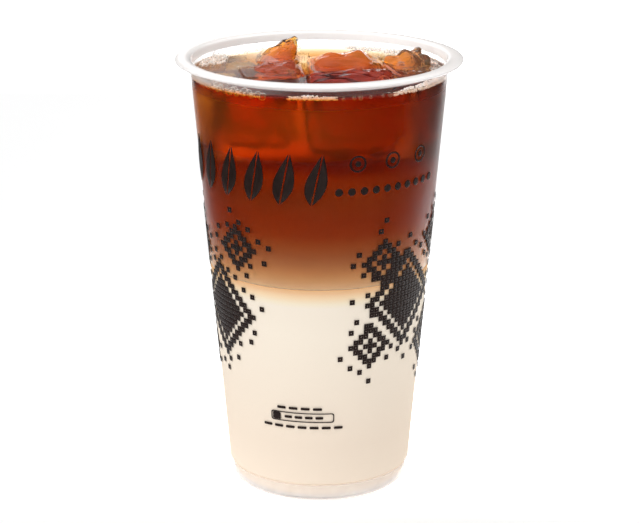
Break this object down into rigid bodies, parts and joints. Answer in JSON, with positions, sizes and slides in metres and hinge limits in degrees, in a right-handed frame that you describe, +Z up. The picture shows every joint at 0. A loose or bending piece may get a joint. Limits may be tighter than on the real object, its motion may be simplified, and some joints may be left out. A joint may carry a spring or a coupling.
{
  "type": "iced milk tea in a plastic cup",
  "caption": "Tall tapered translucent plastic cup with a rolled lip and a stepped foot, filled with a layer of milk under a layer of tea, with blocks of ice at the surface.",
  "frame": {"origin": "centre of the foot, where the cup stands", "axes": "+Z up along the cup's axis; the pictured side of the drink faces -Y"},
  "size_m": [0.095, 0.095, 0.146],
  "materials": {
    "cup_plastic": "satin translucent",
    "milk": "smooth, opaque",
    "tea": "clear liquid",
    "ice": "clear, melting",
    "print_ink": "screen printed"
  },
  "bodies": {
    "root": {"cup": "cup_plastic", "milk": "milk", "tea": "tea", "ice_back_left": "ice", "ice_centre": "ice", "ice_right": "ice", "ice_left": "ice", "ice_front": "ice"}
  },
  "joints": []
}
